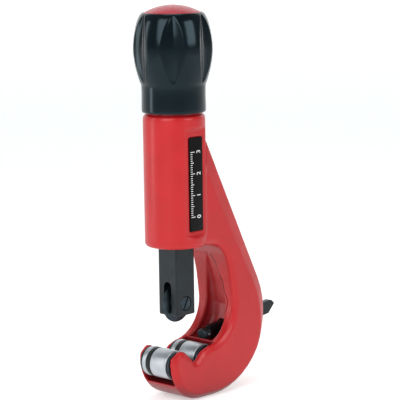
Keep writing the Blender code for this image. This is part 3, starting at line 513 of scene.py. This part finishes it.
def knob(mats):
    low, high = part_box("knob")
    tall = high.z - low.z
    sides = 360
    levels = 110
    turns = [2 * math.pi * k / sides for k in range(sides)]
    bm = bmesh.new()
    rings = []
    for k in range(levels + 1):
        rise = tall * k / levels
        radii = [curve_radius(rise) - flute(t, rise) for t in turns]
        rings.append([bm.verts.new((r * math.cos(t), r * math.sin(t), low.z + rise))
                      for r, t in zip(radii, turns)])
    cap_r = half_size("knob_cap").x
    step = middle("spare_cutter_wheel").z - half_size("spare_cutter_wheel").z - 0.3 * MM
    wheel_r = half_size("spare_cutter_wheel").x + 0.3 * MM
    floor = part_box("knob_washer")[0].z - 0.3 * MM
    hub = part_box("upper_thrust_washer")[1].z + 0.3 * MM
    shoulder = floor - 2.0 * MM
    plug_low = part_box("knob_cap")[0].z - 0.3 * MM
    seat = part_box("knob_cap")[0].z + 2.3 * MM
    inner = [(cap_r + 0.6 * MM, tall + low.z), (cap_r + 0.3 * MM, high.z - 0.3 * MM), (cap_r + 0.3 * MM, seat),
             (11.5 * MM, seat), (11.5 * MM, plug_low), (wheel_r, plug_low), (wheel_r, step), (3.6 * MM, step),
             (3.6 * MM, floor), (2.3 * MM, floor), (2.3 * MM, shoulder), (3.8 * MM, shoulder), (3.8 * MM, hub),
             (13.4 * MM, hub), (13.4 * MM, low.z + 0.4 * MM), (13.8 * MM, low.z)]
    for r, z in inner:
        rings.append([bm.verts.new((r * math.cos(t), r * math.sin(t), z)) for t in turns])
    rings.append(rings[0])
    for under, over in zip(rings, rings[1:]):
        for k in range(sides):
            n = (k + 1) % sides
            bm.faces.new([under[k], under[n], over[n], over[k]])
    obj = keep(bm, "knob_moulding", [mats["knob"]], 50.0)
    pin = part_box("drive_pin")
    cut(obj, box_mesh((pin[0].x - 0.3 * MM, pin[0].y - 0.3 * MM, hub - MM),
                      (pin[1].x + 0.3 * MM, pin[1].y + 0.3 * MM, pin[1].z + 0.3 * MM)))
    obj.data.shade_smooth()
    obj.data.set_sharp_from_angle(angle=math.radians(50))
    stand_in(obj, "knob", "knob_body")


def cap(mats):
    low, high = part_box("knob_cap")
    r = half_size("knob_cap").x
    rim_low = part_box("knob")[1].z - 1.2 * MM
    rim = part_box("knob")[1].z
    rise = high.z - rim
    dome_r = (r ** 2 + rise ** 2) / (2 * rise)
    dome = []
    for k in range(13):
        x = r * (1 - k / 12)
        dome.append((x, high.z - dome_r + math.sqrt(dome_r ** 2 - x ** 2)))
    under = [(0, high.z - 1.5 * MM), (6.0 * MM, high.z - 2.4 * MM), (9.8 * MM, rim_low), (9.8 * MM, low.z),
             (11.2 * MM, low.z), (11.2 * MM, rim_low), (r, rim_low)]
    obj = turned("cap_moulding", mats["cap"], under + dome, (0, 0, 0), "Z", 0.25 * MM)
    stand_in(obj, "knob_cap", "cap_body")


def feed_screw(mats):
    """The screw with its real 2 mm thread, hidden in the barrel until the slide moves."""
    low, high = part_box("feed_screw")
    collar = half_size("feed_screw").x
    crest = 4.0 * MM
    root = 3.1 * MM
    collar_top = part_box("lower_thrust_washer")[0].z - 0.3 * MM
    collar_low = collar_top - 2.5 * MM
    pitch = 2.0 * MM
    sides = 24
    bm = bmesh.new()
    steps = int((collar_low - low.z) / pitch * 4) + 1
    rings = []
    for k in range(steps + 1):
        ring = []
        for s in range(sides):
            t = 2 * math.pi * s / sides
            z = low.z + (collar_low - low.z) * k / steps
            phase = ((z / pitch) + s / sides) % 1.0
            wave = min(max(abs(phase * 2 - 1) * 2.4 - 0.7, 0), 1)
            r = root + (crest - root) * wave
            ring.append(bm.verts.new((r * math.cos(t), r * math.sin(t), z)))
        rings.append(ring)
    for r, z in ((collar, collar_low), (collar, collar_top), (3.5 * MM, collar_top), (3.5 * MM, high.z),
                 (2.3 * MM, high.z), (2.3 * MM, high.z - 10 * MM)):
        rings.append([bm.verts.new((r * math.cos(2 * math.pi * s / sides), r * math.sin(2 * math.pi * s / sides), z))
                      for s in range(sides)])
    for under, over in zip(rings, rings[1:]):
        for s in range(sides):
            n = (s + 1) % sides
            bm.faces.new([under[s], under[n], over[n], over[s]])
    bm.faces.new(rings[0][::-1])
    bm.faces.new(rings[-1])
    obj = keep(bm, "feed_screw_threaded", [mats["plain_steel"]])
    stand_in(obj, "feed_screw", "knob_body")


def finish_nodes(mats):
    """CAD pieces that keep their shape take their finish here."""
    finishes = {
        "slide": "black_steel", "front_roller_pin": "plain_steel", "rear_roller_pin": "plain_steel",
        "feed_bush": "bronze", "lower_thrust_washer": "plain_steel", "upper_thrust_washer": "plain_steel",
        "reamer_ball": "plain_steel", "reamer_spring": "plain_steel", "reamer_plug": "dark_steel",
        "drive_pin": "plain_steel", "knob_screw": "plain_steel", "knob_washer": "plain_steel",
        "reamer_blade": "black_steel", "reamer_button": "dark_steel", "reamer_rivet": "plain_steel",
    }
    for name, key in finishes.items():
        NODES[name].data.materials.clear()
        NODES[name].data.materials.append(mats[key])


# ---- studio ----

def camera():
    """A long lens from the open side of the C, a little above the tool."""
    turn = math.radians(45.637)
    tip = math.radians(9.050)
    roll = math.radians(-0.808)
    ahead = Vector((math.sin(turn) * math.cos(tip), math.cos(turn) * math.cos(tip), -math.sin(tip)))
    right = Vector((math.cos(turn), -math.sin(turn), 0))
    up = right.cross(ahead)
    across = right * math.cos(roll) + up * math.sin(roll)
    upward = up * math.cos(roll) - right * math.sin(roll)
    target = right * 11.436 * MM + Vector((0, 0, 75.483 * MM))
    cam = bpy.data.objects.new("camera", bpy.data.cameras.new("camera"))
    cam.data.lens = 175.1
    cam.data.sensor_width = 36.0
    cam.data.clip_start = 0.01
    spin = Matrix((across, upward, -ahead)).transposed().to_4x4()
    cam.matrix_world = Matrix.Translation(target - ahead * 900.3 * MM) @ spin
    bpy.context.scene.collection.objects.link(cam)
    bpy.context.scene.camera = cam


def area(name, at, to, width, height, power):
    light = bpy.data.lights.new(name, "AREA")
    light.shape = "RECTANGLE"
    light.size = width
    light.size_y = height
    light.energy = power
    obj = bpy.data.objects.new(name, light)
    at = Vector(at)
    aim = (Vector(to) - at).to_track_quat("-Z", "Y")
    obj.matrix_world = Matrix.Translation(at) @ aim.to_matrix().to_4x4()
    bpy.context.scene.collection.objects.link(obj)


def glow(name, tint, strength):
    """A pale surface that is lit a little from within, like a light table."""
    mat = blank(name)
    surface(mat, {"Base Color": colour(tint), "Roughness": 0.9, "Emission Color": colour("#FFFFFF"),
                  "Emission Strength": strength})
    return mat


def studio():
    floor_z = cad_box[0].z - 0.2 * MM
    bm = bmesh.new()
    bmesh.ops.create_grid(bm, x_segments=1, y_segments=1, size=4.0)
    bmesh.ops.translate(bm, verts=bm.verts, vec=(0, 0, floor_z))
    keep(bm, "floor", [glow("pale_floor", "#EDEDED", 0.42)])
    bm = bmesh.new()
    bmesh.ops.create_grid(bm, x_segments=1, y_segments=1, size=4.0)
    bmesh.ops.rotate(bm, verts=bm.verts, matrix=Matrix.Rotation(math.radians(90), 3, "X"))
    bmesh.ops.rotate(bm, verts=bm.verts, matrix=Matrix.Rotation(math.radians(-45.6), 3, "Z"))
    bmesh.ops.translate(bm, verts=bm.verts, vec=(2.1, 2.1, 0))
    keep(bm, "backdrop", [glow("pale_backdrop", "#F2F2F2", 0.85)])
    world = bpy.data.worlds.new("studio")
    world.use_nodes = True
    world.node_tree.nodes["Background"].inputs["Color"].default_value = colour("#E8F0F2")
    world.node_tree.nodes["Background"].inputs["Strength"].default_value = 0.36
    bpy.context.scene.world = world
    centre = (0.01, 0, 0.08)
    area("key_box", (-0.62, -0.20, 0.46), centre, 0.50, 0.55, 3.4)
    area("side_box", (0.16, -0.80, 0.42), centre, 0.40, 0.50, 2.6)
    area("rim_box", (-0.45, 0.40, 0.15), centre, 0.12, 0.60, 0.8)
    area("top_box", (0.05, 0.05, 0.85), centre, 0.40, 0.40, 1.0)
    view = bpy.context.scene.view_settings
    view.view_transform = "Standard"
    view.exposure = 0.0


def build():
    camera()
    mats = materials()
    frame_casting(mats)
    label(mats)
    rollers(mats)
    wheels(mats)
    axle_screw(mats)
    knob(mats)
    cap(mats)
    feed_screw(mats)
    finish_nodes(mats)
    studio()


build()
